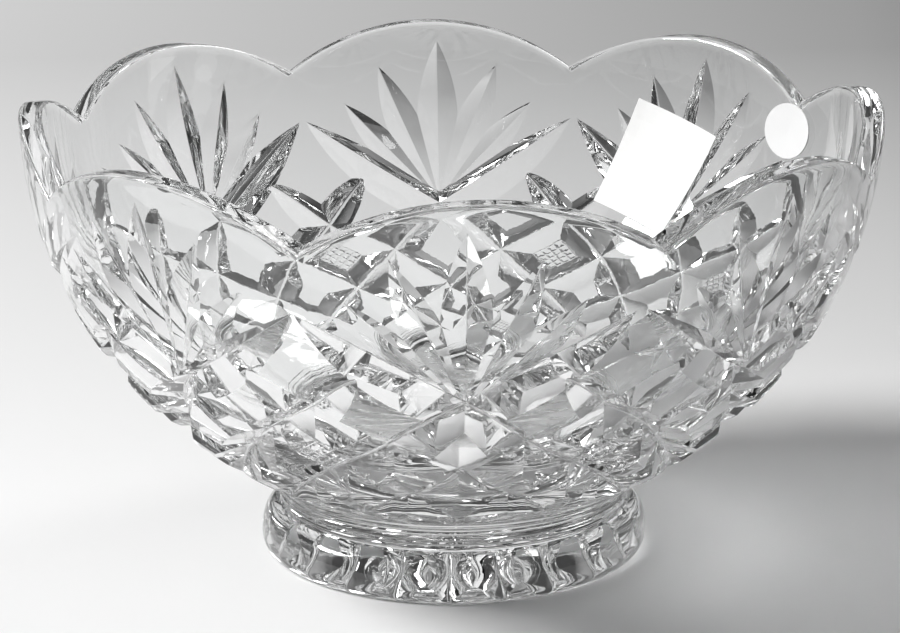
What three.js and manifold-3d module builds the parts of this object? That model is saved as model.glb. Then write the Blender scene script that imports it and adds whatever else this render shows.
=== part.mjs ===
// Footed cut-glass bowl with a scalloped rim, in millimetres, +Z up.
// Origin: centre of the resting ring, on the table. The fan cut at turn 0 faces -Y.
// Every angle called turn is in degrees from -Y towards +X.
// Every length called drop is measured down along the wall from the level of the rim.
import * as THREE from 'three';
import { mergeVertices } from 'three/addons/utils/BufferGeometryUtils.js';
import Module from 'manifold-3d';

const wasm = await Module();
wasm.setup();

// Bowl body
const height = 110.5;
const rimRadius = 102.3;
const rimWall = 5.6;
const insideFloor = 22.5;
const outsideBottom = 9.2;
const waistRadius = 42.5;
const waistBlend = 4.5;

// Scalloped rim
const scallops = 8;
const scallopTurn = 1.3;
const scallopRadius = 67;

// Foot
const footHeight = 11.5;
const footFlare = 4.8;
const footBelly = 3.6;
const footShoulder = 10.3;
const footEdge = 0.7;
const restInset = 1.7;
const restWidth = 2.9;
const underRecess = 0.5;

// Star cut under the foot
const starRays = 20;
const starTurn = -4;
const starInner = 2.5;
const starOuter = 38.5;
const starDepth = 2.6;
const starSlope = 28;

// Fan cuts: pointed petals that spread from one origin, one fan under each scallop. Each is cut
// straight into the curved wall, so it is deepest halfway. The turns are as cut by hand, and
// aren't quite regular.
const fans = 8;
const fanTurns = [-0.6, 44, 90, 135.8, 180, 224.2, 270, 315.8];
const fanOriginDrop = 50;
const petalSlope = 22;
const petals = [
  { lean: 0, tipDrop: 5.8 },
  { lean: 9.2, tipDrop: 12.5 },
  { lean: 14.9, tipDrop: 22.3 },
];
const outerPetal = { lean: 21.6, tipDrop: 26.2, slope: 38, tilt: 9 };

// Long mitre cuts: they run on from the outer petals and cross in rows that are half a fan apart.
// Each row gives its drop down the wall and the depth of the cuts there.
const mitreSlope = 42;
const latticeTurn = -1.3;
const crossings = [
  { drop: 56.6, depth: 5.0 },
  { drop: 69.6, depth: 5.8 },
  { drop: 83.2, depth: 6.0 },
  { drop: 93.8, depth: 4.4 },
  { drop: 102.5, depth: -0.3 },
];
const fanCrossing = { drop: 51.6, depth: 3.4 };
const fanStart = { lean: 6.5, drop: 43.5, depth: -0.2 };
const edgeStart = [
  { lean: 9.4, drop: 41.5, depth: -0.2 },
  { lean: 7.4, drop: 44.5, depth: 2.0 },
  { lean: 4.4, drop: 49.5, depth: 4.0 },
];

// Paper labels on the inside of the wall, both blank
const paper = 0.25;
const paperGap = 0.3;
const priceLabel = { wide: 26, tall: 30, turn: 140.3, drop: 35.5, tilt: -15 };
const sealLabel = { wide: 20.5, tall: 14, turn: 113.2, drop: 17.7, tilt: 0 };

// Fineness of the faceted surfaces
const aroundSteps = 64;
const wallSteps = 9;
const floorSteps = 10;
const blendSteps = 3;
const scallopSteps = 64;
const cutterMargin = 3;
const petalMargin = 6;
const petalRunOut = 2;
const stock = 2;

const radians = THREE.MathUtils.degToRad;
const fanPitch = 360 / fans;
const footRadius = waistRadius + footFlare;
const restOuter = footRadius - restInset;
const restInner = restOuter - restWidth;

// The two sides of the wall are quarter ellipses that start at the rim and end on the axis.
function wallCurve(radius, bottom) {
  const curve = new THREE.EllipseCurve(0, height, radius, height - bottom, 0, -Math.PI / 2, true);
  curve.arcLengthDivisions = 400;
  return curve;
}
const outside = wallCurve(rimRadius, outsideBottom);
const inside = wallCurve(rimRadius - rimWall, insideFloor);

function facing(turn) {
  return new THREE.Vector3(Math.sin(radians(turn)), -Math.cos(radians(turn)), 0);
}

// A point on a wall curve, with the direction that points away from the bowl's axis.
function wallFrame(curve, turn, drop) {
  const along = drop / curve.getLength();
  const spot = curve.getPointAt(along);
  const run = curve.getTangentAt(along);
  const outward = facing(turn);
  const point = outward.clone().multiplyScalar(spot.x).setZ(spot.y);
  const normal = outward.clone().multiplyScalar(-run.y).setZ(run.x);
  return { point, normal: normal.normalize() };
}

// Closed meshes to solids and back
function toSolid(geometry) {
  const bare = geometry.clone();
  bare.deleteAttribute('normal');
  bare.deleteAttribute('uv');
  const merged = mergeVertices(bare, 1e-4);
  const vertProperties = new Float32Array(merged.attributes.position.array);
  const triVerts = new Uint32Array(merged.index.array);
  return new wasm.Manifold(new wasm.Mesh({ numProp: 3, vertProperties, triVerts }));
}

function toGeometry(solid) {
  const mesh = solid.getMesh();
  const geometry = new THREE.BufferGeometry();
  geometry.setAttribute('position', new THREE.BufferAttribute(mesh.vertProperties, 3));
  geometry.setIndex(new THREE.BufferAttribute(mesh.triVerts, 1));
  geometry.computeVertexNormals();
  return geometry;
}

// A LatheGeometry turns about Y, so it is stood up on Z.
function turned(profile) {
  return new THREE.LatheGeometry(profile, aroundSteps).rotateX(Math.PI / 2);
}

// A long V-shaped wedge. Each station gives the surface point, its outward normal and the
// depth of the cut there. The two flanks lie at the given slope to the surface.
function wedge(stations, slopeDegrees, margin = cutterMargin) {
  const slope = Math.tan(radians(slopeDegrees));
  const last = stations.length - 1;
  const positions = [];
  stations.forEach((station, i) => {
    const ahead = stations[Math.min(i + 1, last)].point;
    const behind = stations[Math.max(i - 1, 0)].point;
    const forward = ahead.clone().sub(behind);
    const side = forward.cross(station.normal).normalize();
    const half = (station.depth + margin) / slope;
    const apex = station.point.clone().addScaledVector(station.normal, -station.depth);
    const top = station.point.clone().addScaledVector(station.normal, margin);
    positions.push(...apex.toArray());
    positions.push(...top.clone().addScaledVector(side, half).toArray());
    positions.push(...top.clone().addScaledVector(side, -half).toArray());
  });
  const index = [0, 1, 2, last * 3, last * 3 + 2, last * 3 + 1];
  for (let i = 0; i < last; i++) {
    for (let edge = 0; edge < 3; edge++) {
      const a = i * 3 + edge;
      const b = i * 3 + ((edge + 1) % 3);
      index.push(a, a + 3, b + 3, a, b + 3, b);
    }
  }
  const geometry = new THREE.BufferGeometry();
  geometry.setAttribute('position', new THREE.Float32BufferAttribute(positions, 3));
  geometry.setIndex(index);
  return toSolid(geometry);
}

// Petal: a cut along the straight line from a root to a tip on the wall. The root may lie below
// the wall's surface, and the cut may lean to one side.
function straightCut(root, tip, slopeDegrees, tiltDegrees = 0) {
  const start = wallFrame(outside, root.turn, root.drop);
  const end = wallFrame(outside, tip.turn, tip.drop);
  start.point.addScaledVector(start.normal, -root.depth);
  const along = end.point.clone().sub(start.point).normalize();
  const normal = start.normal.clone().add(end.normal);
  normal.addScaledVector(along, -normal.dot(along)).normalize();
  normal.applyAxisAngle(along, radians(tiltDegrees));
  start.point.addScaledVector(along, -petalRunOut);
  end.point.addScaledVector(along, petalRunOut);
  const stations = [start, end].map(({ point }) => ({ point, normal, depth: 0 }));
  return wedge(stations, slopeDegrees, petalMargin);
}

function petalCuts(fanTurn) {
  const cuts = [];
  for (const { lean, tipDrop } of petals) {
    for (const side of lean > 0 ? [1, -1] : [1]) {
      const root = { turn: fanTurn, drop: fanOriginDrop, depth: 0 };
      cuts.push(straightCut(root, { turn: fanTurn + side * lean, drop: tipDrop }, petalSlope));
    }
  }
  for (const side of [1, -1]) {
    const root = { turn: fanTurn, ...fanCrossing };
    const tip = { turn: fanTurn + side * outerPetal.lean, drop: outerPetal.tipDrop };
    cuts.push(straightCut(root, tip, outerPetal.slope, side * outerPetal.tilt));
  }
  return cuts;
}

// Mitre cut: a curve through its knots, with one more station halfway between each two.
function mitreCut(knots) {
  const stations = [];
  knots.forEach((knot, i) => {
    if (i > 0) {
      const before = knots[i - 1];
      stations.push({
        turn: (before.turn + knot.turn) / 2,
        drop: (before.drop + knot.drop) / 2,
        depth: (before.depth + knot.depth) / 2,
      });
    }
    stations.push(knot);
  });
  return wedge(stations.map(({ turn, drop, depth }) => (
    { ...wallFrame(outside, turn, drop), depth })), mitreSlope);
}

// The crossings below a start, a quarter of the fan pitch further round in each row
function crossingKnots(startTurn, side, firstRow) {
  return crossings.slice(firstRow).map(({ drop, depth }, i) => (
    { turn: startTurn + side * (firstRow + i) * (fanPitch / 4), drop, depth }));
}

function allWallCuts() {
  const cuts = [];
  fanTurns.forEach((fanTurn, fan) => {
    cuts.push(...petalCuts(fanTurn));
    const latticeFan = fan * fanPitch + latticeTurn;
    const edgeTurn = latticeFan + fanPitch / 2;
    for (const side of [1, -1]) {
      const fromFan = { ...fanStart, turn: fanTurn - side * fanStart.lean };
      const throughFan = { ...fanCrossing, turn: fanTurn };
      cuts.push(mitreCut([fromFan, throughFan, ...crossingKnots(latticeFan, side, 1)]));
      const fromEdge = edgeStart.map((knot) => ({ ...knot, turn: edgeTurn - side * knot.lean }));
      cuts.push(mitreCut([...fromEdge, ...crossingKnots(edgeTurn, side, 0)]));
    }
  });
  return cuts;
}

// The blank is turned a little taller than the rim, and the scallops are cut from it.
function bowlBlank() {
  const joinRadius = waistRadius + waistBlend;
  const joinAngle = Math.asin(joinRadius / rimRadius);
  const depth = height - outsideBottom;
  const join = new THREE.Vector2(joinRadius, height - depth * Math.cos(joinAngle));
  const joinSlope = (depth / rimRadius) * Math.tan(joinAngle);
  const corner = new THREE.Vector2(waistRadius, join.y - joinSlope * waistBlend);
  const base = new THREE.Vector2(waistRadius, footHeight);
  const blend = new THREE.QuadraticBezierCurve(base, corner, join).getPoints(blendSteps);
  const profile = [new THREE.Vector2(0, footHeight), ...blend];
  for (let i = 1; i <= wallSteps; i++) {
    const angle = THREE.MathUtils.lerp(joinAngle, Math.PI / 2, i / wallSteps);
    profile.push(new THREE.Vector2(rimRadius * Math.sin(angle), height - depth * Math.cos(angle)));
  }
  profile.push(new THREE.Vector2(rimRadius, height + stock));
  profile.push(new THREE.Vector2(rimRadius - rimWall, height + stock));
  const floorPoints = inside.getPoints(floorSteps);
  floorPoints[floorSteps].x = 0;
  profile.push(...floorPoints);
  return toSolid(turned(profile));
}

function scallopEnvelope() {
  const reach = rimRadius + stock;
  const lobeLength = reach + stock;
  const valley = height - scallopRadius + Math.sqrt(
    scallopRadius ** 2 - (rimRadius * Math.tan(Math.PI / scallops)) ** 2);
  const below = valley - rimWall;
  const drum = new THREE.CylinderGeometry(reach, reach, below, aroundSteps);
  let envelope = toSolid(drum.rotateX(Math.PI / 2).translate(0, 0, below / 2));
  for (let i = 0; i < scallops; i++) {
    const lobe = new THREE.CylinderGeometry(scallopRadius, scallopRadius, lobeLength, scallopSteps);
    lobe.translate(0, -lobeLength / 2, height - scallopRadius);
    lobe.rotateZ(radians(scallopTurn + (i * 360) / scallops));
    envelope = envelope.add(toSolid(lobe));
  }
  return envelope;
}

function bowlGeometry() {
  let body = bowlBlank().intersect(scallopEnvelope());
  for (const cut of allWallCuts()) {
    body = body.subtract(cut);
  }
  return toGeometry(body);
}

// Foot: a thick rounded ring with a recessed underside that carries the star.
function footBlank() {
  const shoulder = new THREE.QuadraticBezierCurve(
    new THREE.Vector2(footRadius, footBelly),
    new THREE.Vector2(footRadius, footShoulder),
    new THREE.Vector2(waistRadius, footHeight),
  ).getPoints(5);
  const belly = new THREE.QuadraticBezierCurve(
    new THREE.Vector2(restOuter, 0),
    new THREE.Vector2(footRadius, footEdge),
    new THREE.Vector2(footRadius, footBelly),
  ).getPoints(4);
  const profile = [
    new THREE.Vector2(0, underRecess),
    new THREE.Vector2(restInner - underRecess, underRecess),
    new THREE.Vector2(restInner, 0),
    ...belly,
    ...shoulder.slice(1),
    new THREE.Vector2(0, footHeight),
  ];
  return toSolid(turned(profile));
}

const rayShape = [[0, 0.1], [0.7, 1], [0.85, 0.75], [1, -0.05]];

function footGeometry() {
  const down = new THREE.Vector3(0, 0, -1);
  let foot = footBlank();
  for (let i = 0; i < starRays; i++) {
    const outward = facing(starTurn + (i * 360) / starRays);
    const stations = rayShape.map(([along, share]) => ({
      point: outward.clone().setLength(THREE.MathUtils.lerp(starInner, starOuter, along)).setZ(underRecess),
      normal: down,
      depth: starDepth * share,
    }));
    foot = foot.subtract(wedge(stations, starSlope));
  }
  return toGeometry(foot);
}

// A flat sheet, wide along x and tall along y, laid on the inside of the wall. The wall's
// facets stand in from its true curve by their sag, so the sheet is lifted by that too.
const facetSag = (rimRadius - rimWall)
  * (2 - Math.cos(Math.PI / (4 * floorSteps)) - Math.cos(Math.PI / aroundSteps));

function draped(sheet, label) {
  const place = sheet.attributes.position;
  const tilt = radians(label.tilt);
  const middle = wallFrame(inside, label.turn, label.drop).point;
  const middleRadius = Math.hypot(middle.x, middle.y);
  for (let i = 0; i < place.count; i++) {
    const across = place.getX(i) * Math.cos(tilt) - place.getY(i) * Math.sin(tilt);
    const up = place.getX(i) * Math.sin(tilt) + place.getY(i) * Math.cos(tilt);
    const turn = label.turn - THREE.MathUtils.radToDeg(across / middleRadius);
    const frame = wallFrame(inside, turn, label.drop - up);
    const lift = facetSag + paperGap + paper / 2 + place.getZ(i);
    const spot = frame.point.addScaledVector(frame.normal, -lift);
    place.setXYZ(i, spot.x, spot.y, spot.z);
  }
  return toGeometry(toSolid(sheet));
}

function priceLabelGeometry() {
  const sheet = new THREE.BoxGeometry(priceLabel.wide, priceLabel.tall, paper, 8, 6, 1);
  return draped(sheet, priceLabel);
}

function sealGeometry() {
  const disc = new THREE.CylinderGeometry(0.5, 0.5, paper, 28).rotateX(Math.PI / 2);
  return draped(disc.scale(sealLabel.wide, sealLabel.tall, 1), sealLabel);
}

const glassLook = { color: 0xe9eeee, roughness: 0.03, metalness: 0, transparent: true, opacity: 0.35 };
const paperLook = { color: 0xf7f7f5, roughness: 0.75, metalness: 0 };

function part(name, geometry, look) {
  const mesh = new THREE.Mesh(geometry, new THREE.MeshStandardMaterial(look));
  mesh.name = name;
  return mesh;
}

const bowl = new THREE.Group();
bowl.add(part('bowl', bowlGeometry(), glassLook));
bowl.add(part('foot', footGeometry(), glassLook));
bowl.add(part('price_label', priceLabelGeometry(), paperLook));
bowl.add(part('oval_seal', sealGeometry(), paperLook));

export default bowl;
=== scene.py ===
# Looks of the footed cut-glass bowl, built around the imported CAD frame.
# The glass is modelled in millimetres, as in the CAD, and scaled to metres once it is cut.
# Turn is in degrees from -Y towards +X. Drop is the length down the wall from the rim's level.
import math

import bpy
import numpy as np
from mathutils import Matrix, Vector


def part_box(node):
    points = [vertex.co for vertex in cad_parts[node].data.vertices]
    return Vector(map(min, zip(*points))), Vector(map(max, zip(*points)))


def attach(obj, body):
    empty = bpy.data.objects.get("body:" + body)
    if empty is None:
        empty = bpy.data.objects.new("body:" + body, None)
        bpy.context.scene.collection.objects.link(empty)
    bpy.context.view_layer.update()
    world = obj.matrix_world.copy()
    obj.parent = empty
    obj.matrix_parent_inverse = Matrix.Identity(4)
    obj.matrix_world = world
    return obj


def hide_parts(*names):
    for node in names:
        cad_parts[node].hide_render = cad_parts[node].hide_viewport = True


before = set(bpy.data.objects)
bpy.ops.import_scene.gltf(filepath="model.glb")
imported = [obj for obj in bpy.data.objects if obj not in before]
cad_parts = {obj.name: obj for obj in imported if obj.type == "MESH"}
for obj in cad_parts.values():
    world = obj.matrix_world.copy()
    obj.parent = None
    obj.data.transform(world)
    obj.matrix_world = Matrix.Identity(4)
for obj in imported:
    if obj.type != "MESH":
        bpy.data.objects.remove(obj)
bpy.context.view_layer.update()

MM = 0.001

# Overall sizes, read from the frame
bowl_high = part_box("bowl")[1]
foot_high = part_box("foot")[1]
HEIGHT = round(bowl_high.z / MM, 2)
RIM_RADIUS = round(bowl_high.x / MM, 1)
FOOT_HEIGHT = round(foot_high.z / MM, 2)
FOOT_RADIUS = round(foot_high.x / MM, 1)

# Wall and scalloped rim
RIM_WALL = 5.6
INSIDE_FLOOR = 22.5
OUTSIDE_BOTTOM = 9.2
RIM_FILLET = 0.9
SCALLOPS = 8
SCALLOP_TURN = 1.3
SCALLOP_RADIUS = 67

# Waist and foot
WAIST_RADIUS = 42.5
WAIST_BLEND = 4.5
FOOT_BELLY = 3.6
FOOT_SHOULDER = 10.3
FOOT_EDGE = 0.7
REST_OUTER = FOOT_RADIUS - 1.7
REST_INNER = REST_OUTER - 2.9
UNDER_RECESS = 0.5
UNDER_FLAT = {"from": 4, "to": REST_INNER - 2.2}
# Edge of the recess: distance out from the resting ring's inner edge, and height
RECESS_EDGE = [(-1.4, UNDER_RECESS - 0.15), (-0.4, 0.3), (0, 0.06), (0.5, 0)]

# Fine turned rings from the waist up: waves of the radius, which fade in and out again. Rates
# are in radians per millimetre of height.
RINGS_FROM = FOOT_HEIGHT - 0.5
RINGS_FADE_IN = 1.5
RINGS_FADE_OUT_ROWS = 22
RING_HEIGHT = 0.1
RING_WAVES = [
    {"rate": 5.1, "share": 1.0, "phase": 0.0},
    {"rate": 7.3, "share": 0.9, "phase": 1.0},
    {"rate": 11.3, "share": 0.4, "phase": 2.2},
]

# Star under the foot. The shape gives each ray's depth along it, from its inner end.
STAR_RAYS = 20
STAR_TURN = -4
STAR_INNER = 2.5
STAR_OUTER = 38.5
STAR_DEPTH = 2.6
STAR_SLOPE = 28
STAR_SHAPE = [(0, 0.1), (0.7, 1), (0.85, 0.75), (1, -0.05)]

# Fans of petals. The turns are as cut by hand, so they aren't quite regular.
FANS = 8
FAN_PITCH = 360 / FANS
FAN_TURNS = [-0.6, 44, 90, 135.8, 180, 224.2, 270, 315.8]
FAN_ORIGIN_DROP = 50
PETAL_SLOPE = 22
PETALS = [
    {"lean": 0, "tip": 5.8},
    {"lean": 9.2, "tip": 12.5},
    {"lean": 14.9, "tip": 22.3},
]
OUTER_PETAL = {"lean": 21.6, "tip": 26.2}
OUTER_PETAL_SLOPE = 38
OUTER_PETAL_TILT = 9

# Long mitre cuts: where they cross, and how deep they are there
MITRE_SLOPE = 42
LATTICE_TURN = -1.3
CROSSINGS = [
    {"drop": 56.6, "depth": 5.0},
    {"drop": 69.6, "depth": 5.8},
    {"drop": 83.2, "depth": 6.0},
    {"drop": 93.8, "depth": 4.4},
    {"drop": 102.5, "depth": -0.3},
]
FAN_CROSSING = {"drop": 51.6, "depth": 3.4}
FAN_START = {"drop": 43.5, "lean": 6.5, "depth": -0.2}
EDGE_START = [
    {"drop": 41.5, "lean": 9.4, "depth": -0.2},
    {"drop": 44.5, "lean": 7.4, "depth": 2.0},
    {"drop": 49.5, "lean": 4.4, "depth": 4.0},
]

# Crosshatching on the diamonds between the fans. The lines stop short of the diamond's sides.
HATCH_LINES = 10
HATCH_SLOPE = 32
HATCH_DEPTH = 0.36
HATCH_SPAN = (0.06, 0.94)

# Cutters: how far they reach above the glass, and half the width of their rounded tips. A petal's
# cutter runs out past both ends, and an upright one has straight sides from just above the glass.
CUT_MARGIN = 3.0
CUT_TIP = 0.5
PETAL_MARGIN = 6
PETAL_TIP = 0.1
PETAL_RUN_OUT = 2
HATCH_MARGIN = 0.5
HATCH_TIP = 0.06
UPRIGHT_FROM = 0.02

# Fineness of the meshes
COLUMNS = SCALLOPS * 48
UNDER_STEPS = 9
FOOT_SIDE_STEPS = 10
SHOULDER_STEPS = 40
WAIST_STEPS = 36
OUTSIDE_ROWS = 70
INSIDE_ROWS = 84
FILLET_STEPS = 5
RIM_SHARES = (0.33, 0.67)
TIP_POINTS = 7
MITRE_STATIONS = 44
STAR_STATIONS = 18
HATCH_STATIONS = 12
WALL_SAMPLES = 4001
SHARP_ANGLE = 18

# Crystal: its tint and refraction, and the unevenness that polishing leaves, in metres
CRYSTAL_TINT = (0.985, 0.99, 0.99)
CRYSTAL_IOR = 1.54
GRAIN_SIZE = 0.0009
TURNED_POLISH = {"wave_size": 0.012, "wave_height": 0.00005, "grain_height": 0.0000015}
CUT_POLISH = {"wave_size": 0.006, "wave_height": 0.00003, "grain_height": 0.0000008}

# Blank paper of the two labels, with its mottle's scale per metre and height in metres
PAPERS = {
    "price_label": {"name": "label_paper", "dark": (0.93, 0.93, 0.92), "light": (0.97, 0.97, 0.965)},
    "oval_seal": {"name": "seal_paper", "dark": (0.68, 0.68, 0.68), "light": (0.74, 0.74, 0.74)},
}
PAPER_MOTTLE = 900
PAPER_RELIEF = 0.0002

# Floor, in metres, with painted light falloff: paler towards the left and the front, greyer towards
# the right and the back. Each slope gives a range of places and the paleness at its two ends.
FLOOR_SIZE = 10
FLOOR_PAINTED_FALLOFF_ACROSS = ((-0.5, 0.5), (0.33, -0.33))
FLOOR_PAINTED_FALLOFF_BACK = ((-0.25, 0.6), (0.91, 0.44))
FLOOR_PAINTED_LIGHT_RANGE = (0.26, 0.86)
# The floor's pale middle, with painted shade out at both sides: half its width, how much that grows
# per metre towards the back, the width of its soft edge, and the share of its paleness that is left
# in the painted shade beyond
PAINTED_SIDE_SHADE = {"half": 0.115, "spread": 0.146, "edge": 0.25, "beyond": 0.5}

# Camera, from the fit to the photograph's outline: lengths in metres, angles in degrees
PHOTO_WIDTH = 900
FOCAL_PIXELS = 3075.36
OFFSET_PIXELS = 2.78
SENSOR_WIDTH = 36
CLIP_START = 0.01
DISTANCE = 0.74639
ELEVATION = 16.37
AIM_HEIGHT = 0.05671
CAMERA_TURN = -2.3
ROLL = 0.27

# Soft, distant lamps, and the paleness of the room around, from the floor's level to overhead
LAMPS = {
    "key": {"direction": (0.75, -0.04, -0.64), "angle": 22, "strength": 4.4},
    "fill": {"direction": (-0.5, -0.6, -0.75), "angle": 18, "strength": 0.5},
}
ROOM = [(0.0, 0.04), (0.8, 0.05), (0.95, 0.3)]


# Materials

def new_material(name):
    material = bpy.data.materials.new(name)
    material.use_nodes = True
    return material, material.node_tree.nodes, material.node_tree.links


def noise_node(nodes, scale, detail):
    noise = nodes.new("ShaderNodeTexNoise")
    noise.inputs["Scale"].default_value = scale
    noise.inputs["Detail"].default_value = detail
    return noise


def bump_node(nodes, links, height, strength, distance):
    bump = nodes.new("ShaderNodeBump")
    bump.inputs["Strength"].default_value = strength
    bump.inputs["Distance"].default_value = distance
    links.new(height, bump.inputs["Height"])
    return bump


def math_node(nodes, links, operation, *values):
    node = nodes.new("ShaderNodeMath")
    node.operation = operation
    for value, socket in zip(values, node.inputs):
        links.new(value, socket)
    return node.outputs["Value"]


def ranged(nodes, links, value, source, target):
    """A clamped linear map of a value from one range to another."""
    node = nodes.new("ShaderNodeMapRange")
    node.inputs["From Min"].default_value, node.inputs["From Max"].default_value = source
    node.inputs["To Min"].default_value, node.inputs["To Max"].default_value = target
    links.new(value, node.inputs["Value"])
    return node.outputs["Result"]


def glass_material(name, polish):
    """Clear lead crystal with wide, low waves and a fine grain from polishing."""
    material, nodes, links = new_material(name)
    shader = nodes["Principled BSDF"]
    coordinates = nodes.new("ShaderNodeTexCoord")
    waves = (polish["wave_size"], polish["wave_height"])
    grain = (GRAIN_SIZE, polish["grain_height"])
    normal = None
    for size, height in (waves, grain):
        noise = noise_node(nodes, 1 / size, 1.5)
        links.new(coordinates.outputs["Object"], noise.inputs["Vector"])
        bump = bump_node(nodes, links, noise.outputs["Fac"], 1.0, height)
        if normal:
            links.new(normal, bump.inputs["Normal"])
        normal = bump.outputs["Normal"]
    links.new(normal, shader.inputs["Normal"])
    shader.inputs["Base Color"].default_value = (*CRYSTAL_TINT, 1)
    shader.inputs["Roughness"].default_value = 0.0
    shader.inputs["IOR"].default_value = CRYSTAL_IOR
    shader.inputs["Transmission Weight"].default_value = 1.0
    return material


def paper_material(name, dark, light):
    """Matt paper with a faint mottle."""
    material, nodes, links = new_material(name)
    shader = nodes["Principled BSDF"]
    shader.inputs["Roughness"].default_value = 0.8
    noise = noise_node(nodes, PAPER_MOTTLE, 4)
    ramp = nodes.new("ShaderNodeMix")
    ramp.data_type = "RGBA"
    ramp.inputs["A"].default_value = (*dark, 1)
    ramp.inputs["B"].default_value = (*light, 1)
    links.new(noise.outputs["Fac"], ramp.inputs["Factor"])
    links.new(ramp.outputs["Result"], shader.inputs["Base Color"])
    bump = bump_node(nodes, links, noise.outputs["Fac"], 0.15, PAPER_RELIEF)
    links.new(bump.outputs["Normal"], shader.inputs["Normal"])
    return material


def painted_light_floor_material():
    """Pale paper with painted light and shade: lighter towards the left and the front as painted
    lamp falloff, and greyer out at both sides as painted shade.
    """
    material, nodes, links = new_material("paper_sweep_painted_light")
    shader = nodes["Principled BSDF"]
    shader.inputs["Roughness"].default_value = 0.9
    shader.inputs["Specular IOR Level"].default_value = 0.1
    coordinates = nodes.new("ShaderNodeTexCoord")
    place = nodes.new("ShaderNodeSeparateXYZ")
    links.new(coordinates.outputs["Object"], place.inputs["Vector"])
    x, y = place.outputs["X"], place.outputs["Y"]
    # Painted light falloff: paler towards the left and the front, greyer towards the right and the
    # back
    across = ranged(nodes, links, x, *FLOOR_PAINTED_FALLOFF_ACROSS)
    back = ranged(nodes, links, y, *FLOOR_PAINTED_FALLOFF_BACK)
    level = math_node(nodes, links, "ADD", across, back)
    level = ranged(nodes, links, level, FLOOR_PAINTED_LIGHT_RANGE, FLOOR_PAINTED_LIGHT_RANGE)
    # Painted shade: greyer out at both sides of the pale middle
    aside = math_node(nodes, links, "ABSOLUTE", x)
    spread = ranged(nodes, links, y, (-1, 1), (-PAINTED_SIDE_SHADE["spread"], PAINTED_SIDE_SHADE["spread"]))
    aside = math_node(nodes, links, "SUBTRACT", aside, spread)
    edge = (PAINTED_SIDE_SHADE["half"], PAINTED_SIDE_SHADE["half"] + PAINTED_SIDE_SHADE["edge"])
    share = ranged(nodes, links, aside, edge, (1, PAINTED_SIDE_SHADE["beyond"]))
    links.new(math_node(nodes, links, "MULTIPLY", level, share), shader.inputs["Base Color"])
    return material


GLASS = glass_material("crystal", TURNED_POLISH)
GLASS_CUT = glass_material("crystal_cut", CUT_POLISH)


# Wall curves

def facing(turn):
    return Vector((math.sin(math.radians(turn)), -math.cos(math.radians(turn)), 0))


class Wall:
    """A quarter ellipse from the rim to the axis, measured along its length from the rim."""

    def __init__(self, radius, bottom):
        self.radius = radius
        self.depth = HEIGHT - bottom
        self.angles = np.linspace(math.pi / 2, 0, WALL_SAMPLES)
        r = radius * np.sin(self.angles)
        z = HEIGHT - self.depth * np.cos(self.angles)
        self.lengths = np.concatenate([[0], np.cumsum(np.hypot(np.diff(r), np.diff(z)))])

    def section(self, angle):
        return self.radius * math.sin(angle), HEIGHT - self.depth * math.cos(angle)

    def place(self, turn, drop):
        """The point at a turn and a drop, and the direction that points out of the wall."""
        angle = float(np.interp(drop, self.lengths, self.angles))
        r, z = self.section(angle)
        outward = facing(turn)
        slope = math.atan2(self.radius * math.cos(angle), self.depth * math.sin(angle))
        normal = outward * math.cos(slope) - Vector((0, 0, 1)) * math.sin(slope)
        return outward * r + Vector((0, 0, z)), normal


OUTSIDE = Wall(RIM_RADIUS, OUTSIDE_BOTTOM)
INSIDE = Wall(RIM_RADIUS - RIM_WALL, INSIDE_FLOOR)


def bezier(p0, p1, p2, steps):
    points = []
    for i in range(steps + 1):
        t = i / steps
        points.append(tuple((1 - t) ** 2 * a + 2 * t * (1 - t) * b + t * t * c
                            for a, b, c in zip(p0, p1, p2)))
    return points


def curve_through(knots, count):
    """A smooth curve through (x, y...) knots that never overshoots, as count points."""
    knots = np.array(knots, float)
    x, y = knots[:, 0], knots[:, 1:]
    h = np.diff(x)
    slopes = np.diff(y, axis=0) / h[:, None]
    m = np.zeros_like(y)
    m[0], m[-1] = slopes[0], slopes[-1]
    for i in range(1, len(x) - 1):
        a, b = slopes[i - 1], slopes[i]
        w1, w2 = 2 * h[i] + h[i - 1], h[i] + 2 * h[i - 1]
        with np.errstate(divide="ignore", invalid="ignore"):
            m[i] = np.where(a * b > 0, (w1 + w2) / (w1 / a + w2 / b), 0)
    points = []
    for value in np.linspace(x[0], x[-1], count):
        i = min(int(np.searchsorted(x, value, side="right")) - 1, len(h) - 1)
        t = (value - x[i]) / h[i]
        point = ((2 * t ** 3 - 3 * t ** 2 + 1) * y[i] + (t ** 3 - 2 * t ** 2 + t) * h[i] * m[i]
                 + (-2 * t ** 3 + 3 * t ** 2) * y[i + 1] + (t ** 3 - t ** 2) * h[i] * m[i + 1])
        points.append((value, *point))
    return points


# The turned blank with its scalloped rim

def mesh_object(name, vertices, faces, slot=0):
    mesh = bpy.data.meshes.new(name)
    mesh.from_pydata([tuple(v) for v in vertices], [], faces)
    mesh.materials.append(GLASS)
    mesh.materials.append(GLASS_CUT)
    mesh.polygons.foreach_set("material_index", [slot] * len(mesh.polygons))
    mesh.update()
    obj = bpy.data.objects.new(name, mesh)
    bpy.context.scene.collection.objects.link(obj)
    return obj


def ring_change(z):
    """The change of radius that the fine turned rings make at a height."""
    wave = sum(w["share"] * math.sin(z * w["rate"] + w["phase"]) for w in RING_WAVES)
    return RING_HEIGHT * wave * min(1, max(0, (z - RINGS_FROM) / RINGS_FADE_IN))


def waist_blend():
    """Points from the waist up to the wall, and the wall's angle where they meet it."""
    join_radius = WAIST_RADIUS + WAIST_BLEND
    angle = math.asin(join_radius / RIM_RADIUS)
    join_z = HEIGHT - OUTSIDE.depth * math.cos(angle)
    slope = (OUTSIDE.depth / RIM_RADIUS) * math.tan(angle)
    corner = (WAIST_RADIUS, join_z - slope * WAIST_BLEND)
    points = bezier((WAIST_RADIUS, FOOT_HEIGHT), corner, (join_radius, join_z), WAIST_STEPS)
    return points, angle


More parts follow.
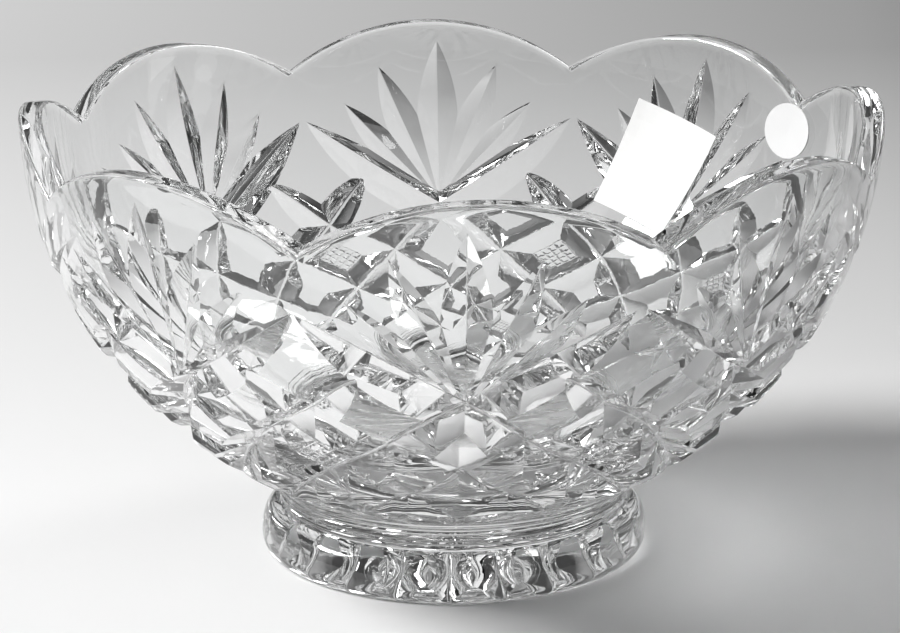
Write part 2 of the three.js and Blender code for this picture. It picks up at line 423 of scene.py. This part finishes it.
def foot_profile():
    """The foot's section from the axis to the waist, as (radius, height)."""
    points = [(0, UNDER_RECESS)]
    for r in np.linspace(UNDER_FLAT["from"], UNDER_FLAT["to"], UNDER_STEPS):
        points.append((float(r), UNDER_RECESS))
    points += [(REST_INNER + out, z) for out, z in RECESS_EDGE]
    points += bezier((REST_OUTER, 0), (FOOT_RADIUS, FOOT_EDGE), (FOOT_RADIUS, FOOT_BELLY),
                     FOOT_SIDE_STEPS)
    shoulder = bezier((FOOT_RADIUS, FOOT_BELLY), (FOOT_RADIUS, FOOT_SHOULDER),
                      (WAIST_RADIUS, FOOT_HEIGHT), SHOULDER_STEPS)
    points += [(r + ring_change(z), z) for r, z in shoulder[1:-1]]
    return points


def rim_level(turn, radius):
    """Height of the scalloped rim: horizontal cylinders that point outwards."""
    pitch = 360 / SCALLOPS
    off = (turn - SCALLOP_TURN + pitch / 2) % pitch - pitch / 2
    across = radius * math.sin(math.radians(off))
    return HEIGHT - SCALLOP_RADIUS + math.sqrt(SCALLOP_RADIUS ** 2 - across ** 2)


def rim_angle(wall, level):
    return math.acos((HEIGHT - level) / wall.depth)


def wall_profile(turn, join):
    """The wall's section at a turn, from the blend up, over the rim and down to the inside."""
    top_out = rim_level(turn, RIM_RADIUS)
    top_in = rim_level(turn, RIM_RADIUS - RIM_WALL)
    end = rim_angle(OUTSIDE, top_out - RIM_FILLET)
    start = rim_angle(INSIDE, top_in - RIM_FILLET)
    points = []
    for i in range(1, OUTSIDE_ROWS + 1):
        r, z = OUTSIDE.section(join + (end - join) * i / OUTSIDE_ROWS)
        fade = max(0.0, 1 - i / RINGS_FADE_OUT_ROWS)
        points.append((r + ring_change(z) * fade, z))
    r_out = points[-1][0]
    r_in = INSIDE.section(start)[0]
    for i in range(1, FILLET_STEPS + 1):
        a = math.pi / 2 * i / FILLET_STEPS
        points.append((r_out - RIM_FILLET * (1 - math.cos(a)),
                       top_out - RIM_FILLET + RIM_FILLET * math.sin(a)))
    for share in RIM_SHARES:
        points.append((r_out - RIM_FILLET + (r_in - r_out + 2 * RIM_FILLET) * share,
                       top_out + (top_in - top_out) * share))
    for i in range(FILLET_STEPS + 1):
        a = math.pi / 2 * (1 - i / FILLET_STEPS)
        points.append((r_in + RIM_FILLET * (1 - math.cos(a)),
                       top_in - RIM_FILLET + RIM_FILLET * math.sin(a)))
    for i in range(1, INSIDE_ROWS):
        points.append(INSIDE.section(start * (1 - i / INSIDE_ROWS)))
    return points


def blank():
    """The uncut glass: one section after another round the axis, closed at both ends."""
    blend, join = waist_blend()
    lower = foot_profile() + [(r + ring_change(z), z) for r, z in blend[1:]]
    vertices = [(0, 0, UNDER_RECESS)]
    for j in range(COLUMNS):
        turn = SCALLOP_TURN + j * 360 / COLUMNS
        direction = facing(turn)
        profile = lower + wall_profile(turn, join)
        for r, z in profile[1:]:
            vertices.append((direction.x * r, direction.y * r, z))
    vertices.append((0, 0, INSIDE_FLOOR))
    last = len(vertices) - 1
    per = len(profile) - 1
    faces = []
    for j in range(COLUMNS):
        a = 1 + j * per
        b = 1 + ((j + 1) % COLUMNS) * per
        faces.append((0, b, a))
        for i in range(per - 1):
            faces.append((a + i, b + i, b + i + 1, a + i + 1))
        faces.append((a + per - 1, b + per - 1, last))
    return mesh_object("glass", vertices, faces)


# Cutters

def groove(stations, slope_degrees, margin=CUT_MARGIN, upright=False, tip=CUT_TIP):
    """A V-shaped cutter with a slightly rounded tip. Each station has a point on the surface,
    its outward normal and the depth of the cut there. An upright cutter goes straight up from
    the surface and doesn't widen further. Returns vertices and faces."""
    k = math.tan(math.radians(slope_degrees))
    last = len(stations) - 1
    vertices = []
    for i, (point, normal, depth) in enumerate(stations):
        ahead = stations[min(i + 1, last)][0]
        behind = stations[max(i - 1, 0)][0]
        side = (ahead - behind).cross(normal).normalized()
        section = []
        for share in np.linspace(-1, 1, TIP_POINTS):
            section.append((tip * share, k * tip * (share * share + 1) / 2 - depth))
        if upright:
            half = (UPRIGHT_FROM + depth) / k
            section = [(-half, margin), (-half, UPRIGHT_FROM), *section,
                       (half, UPRIGHT_FROM), (half, margin)]
        else:
            half = (margin + depth) / k
            section = [(-half, margin), *section, (half, margin)]
        for s, h in section:
            vertices.append(point + side * s + normal * h)
    n = len(section)
    faces = []
    for i in range(last):
        for e in range(n):
            a, b = i * n + e, i * n + (e + 1) % n
            faces.append((a, a + n, b + n, b))
    faces.append(tuple(range(n)))
    faces.append(tuple(last * n + e for e in range(n - 1, -1, -1)))
    return vertices, faces


def straight_groove(root, tip, slope_degrees, root_depth=0, tilt_degrees=0):
    """A cut along a straight line between two points of the wall, so it is deepest halfway."""
    (start, start_normal), (end, end_normal) = OUTSIDE.place(*root), OUTSIDE.place(*tip)
    start = start - start_normal * root_depth
    along = (end - start).normalized()
    normal = (start_normal + end_normal).normalized()
    normal = (normal - along * normal.dot(along)).normalized()
    side = along.cross(normal)
    tilt = math.radians(tilt_degrees)
    normal = normal * math.cos(tilt) + side * math.sin(tilt)
    run_out = along * PETAL_RUN_OUT
    return groove([(start - run_out, normal, 0), (end + run_out, normal, 0)], slope_degrees,
                  margin=PETAL_MARGIN, tip=PETAL_TIP)


def petal_grooves(petal, side):
    return [straight_groove((turn, FAN_ORIGIN_DROP),
                            (turn + side * petal["lean"], petal["tip"]), PETAL_SLOPE)
            for turn in FAN_TURNS]


def outer_petal_grooves(side):
    return [straight_groove((turn, FAN_CROSSING["drop"]),
                            (turn + side * OUTER_PETAL["lean"], OUTER_PETAL["tip"]),
                            OUTER_PETAL_SLOPE, FAN_CROSSING["depth"], side * OUTER_PETAL_TILT)
            for turn in FAN_TURNS]


def mitre_groove(knots):
    """Knots are (drop, turn, depth)."""
    stations = []
    for drop, turn, depth in curve_through(knots, MITRE_STATIONS):
        point, normal = OUTSIDE.place(turn, drop)
        stations.append((point, normal, depth))
    return groove(stations, MITRE_SLOPE)


def crossing_knots(turn, side, first_row):
    return [(row["drop"], turn + side * i * FAN_PITCH / 4, row["depth"])
            for i, row in enumerate(CROSSINGS[first_row:], first_row)]


def mitre_families():
    """Four families of mitre cuts: from the fans and from between them, each way round. The
    cuts of one family don't touch each other."""
    families = []
    for side in (1, -1):
        from_fans, from_edges = [], []
        for fan, fan_turn in enumerate(FAN_TURNS):
            start = [(FAN_START["drop"], fan_turn - side * FAN_START["lean"], FAN_START["depth"]),
                     (FAN_CROSSING["drop"], fan_turn, FAN_CROSSING["depth"])]
            from_fans.append(mitre_groove(
                start + crossing_knots(fan * FAN_PITCH + LATTICE_TURN, side, 1)))
            edge = (fan + 0.5) * FAN_PITCH + LATTICE_TURN
            start = [(k["drop"], edge - side * k["lean"], k["depth"]) for k in EDGE_START]
            from_edges.append(mitre_groove(start + crossing_knots(edge, side, 0)))
        families += [from_fans, from_edges]
    return families


def hatch_groove(edge, start, end):
    """A fine line between two corners, which are (turn from the edge, drop)."""
    stations = []
    for share in np.linspace(*HATCH_SPAN, HATCH_STATIONS):
        turn, drop = start + (end - start) * share
        point, normal = OUTSIDE.place(edge + turn, drop)
        stations.append((point, normal, HATCH_DEPTH))
    return groove(stations, HATCH_SLOPE, margin=HATCH_MARGIN, upright=True, tip=HATCH_TIP)


def hatch_groups():
    """Fine lines on each diamond between two fans, parallel to the diamond's sides. The lines
    of a group don't touch each other."""
    reach = FAN_PITCH / 4
    top, middle, bottom = (row["drop"] for row in CROSSINGS[:3])
    corner_top, corner_bottom = np.array([0, top]), np.array([0, bottom])
    groups = [[], [], [], []]
    for fan in range(FANS):
        edge = (fan + 0.5) * FAN_PITCH + LATTICE_TURN
        for direction, side in enumerate((1, -1)):
            left = np.array([-side * reach, middle])
            right = np.array([side * reach, middle])
            for i in range(1, HATCH_LINES):
                share = i / HATCH_LINES
                start = corner_top + (left - corner_top) * share
                end = right + (corner_bottom - right) * share
                groups[2 * direction + i % 2].append(hatch_groove(edge, start, end))
    return groups


def star_grooves():
    down = Vector((0, 0, -1))
    rays = []
    for i in range(STAR_RAYS):
        outward = facing(STAR_TURN + i * 360 / STAR_RAYS)
        stations = []
        for along, share in curve_through(STAR_SHAPE, STAR_STATIONS):
            point = outward * (STAR_INNER + (STAR_OUTER - STAR_INNER) * along)
            stations.append((point + Vector((0, 0, UNDER_RECESS)), down, STAR_DEPTH * share))
        rays.append(groove(stations, STAR_SLOPE))
    return rays


# Cutting

def cutter(grooves):
    """One mesh object of several grooves that don't touch each other."""
    vertices, faces = [], []
    for groove_vertices, groove_faces in grooves:
        base = len(vertices)
        vertices += groove_vertices
        faces += [tuple(base + i for i in face) for face in groove_faces]
    return mesh_object("cutter", vertices, faces, slot=1)


def combine(target, tool, operation="DIFFERENCE"):
    modifier = target.modifiers.new("cut", "BOOLEAN")
    modifier.operation = operation
    modifier.solver = "MANIFOLD"
    modifier.object = tool
    depsgraph = bpy.context.evaluated_depsgraph_get()
    result = bpy.data.meshes.new_from_object(target.evaluated_get(depsgraph))
    target.modifiers.clear()
    old = target.data
    target.data = result
    bpy.data.meshes.remove(old)
    spent = tool.data
    bpy.data.objects.remove(tool)
    bpy.data.meshes.remove(spent)


def build_glass():
    """The bowl and its foot as one cut glass, in metres."""
    glass = blank()
    for petal in PETALS:
        for side in (1, -1) if petal["lean"] else (1,):
            combine(glass, cutter(petal_grooves(petal, side)))
    for side in (1, -1):
        combine(glass, cutter(outer_petal_grooves(side)))
    for grooves in mitre_families() + hatch_groups():
        combine(glass, cutter(grooves))
    first_ray, *other_rays = star_grooves()
    star = cutter([first_ray])
    for ray in other_rays:
        combine(star, cutter([ray]), "UNION")
    combine(glass, star)
    glass.data.transform(Matrix.Scale(MM, 4))
    glass.data.shade_smooth()
    glass.data.set_sharp_from_angle(angle=math.radians(SHARP_ANGLE))
    return glass


# Stage, camera and light

def add_floor():
    bpy.ops.mesh.primitive_plane_add(size=FLOOR_SIZE)
    floor = bpy.context.object
    floor.name = "floor"
    floor.data.materials.append(painted_light_floor_material())
    return floor


def add_camera():
    data = bpy.data.cameras.new("camera")
    data.sensor_width = SENSOR_WIDTH
    data.lens = FOCAL_PIXELS / PHOTO_WIDTH * SENSOR_WIDTH
    data.shift_x = -OFFSET_PIXELS / PHOTO_WIDTH
    data.clip_start = CLIP_START
    camera = bpy.data.objects.new("camera", data)
    bpy.context.scene.collection.objects.link(camera)
    rise = math.radians(ELEVATION)
    aim = Vector((0, 0, AIM_HEIGHT))
    out, up = facing(CAMERA_TURN), Vector((0, 0, 1))
    location = aim + (out * math.cos(rise) + up * math.sin(rise)) * DISTANCE
    look = (aim - location).to_track_quat("-Z", "Y").to_matrix().to_4x4()
    roll = Matrix.Rotation(math.radians(-ROLL), 4, "Z")
    camera.matrix_world = Matrix.Translation(location) @ look @ roll
    bpy.context.scene.camera = camera


def add_sun(name, direction, angle, strength):
    """A soft, distant lamp that shines along a direction."""
    data = bpy.data.lights.new(name, "SUN")
    data.angle = math.radians(angle)
    data.energy = strength
    lamp = bpy.data.objects.new(name, data)
    bpy.context.scene.collection.objects.link(lamp)
    lamp.rotation_euler = Vector(direction).to_track_quat("-Z", "Y").to_euler()


def add_world():
    """A dim room: dark towards the horizon, paler overhead."""
    world = bpy.data.worlds.new("studio")
    bpy.context.scene.world = world
    world.use_nodes = True
    nodes, links = world.node_tree.nodes, world.node_tree.links
    background = nodes["Background"]
    coordinates = nodes.new("ShaderNodeTexCoord")
    direction = nodes.new("ShaderNodeSeparateXYZ")
    links.new(coordinates.outputs["Generated"], direction.inputs["Vector"])
    ramp = nodes.new("ShaderNodeValToRGB")
    elements = ramp.color_ramp.elements
    while len(elements) < len(ROOM):
        elements.new(0.5)
    for element, (position, level) in zip(elements, ROOM):
        element.position = position
        element.color = (level, level, level, 1)
    links.new(direction.outputs["Z"], ramp.inputs["Fac"])
    links.new(ramp.outputs["Color"], background.inputs["Color"])
    background.inputs["Strength"].default_value = 1.0


glass = build_glass()
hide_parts("bowl", "foot")
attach(glass, "root")

for name, paper in PAPERS.items():
    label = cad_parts[name]
    label.data.materials.clear()
    label.data.materials.append(paper_material(**paper))

floor = add_floor()
add_camera()
for name, lamp in LAMPS.items():
    add_sun(name, **lamp)
add_world()

scene = bpy.context.scene
scene.view_settings.view_transform = "Standard"
scene.cycles.max_bounces = 32
scene.cycles.transmission_bounces = 32
scene.cycles.glossy_bounces = 16
scene.cycles.diffuse_bounces = 4
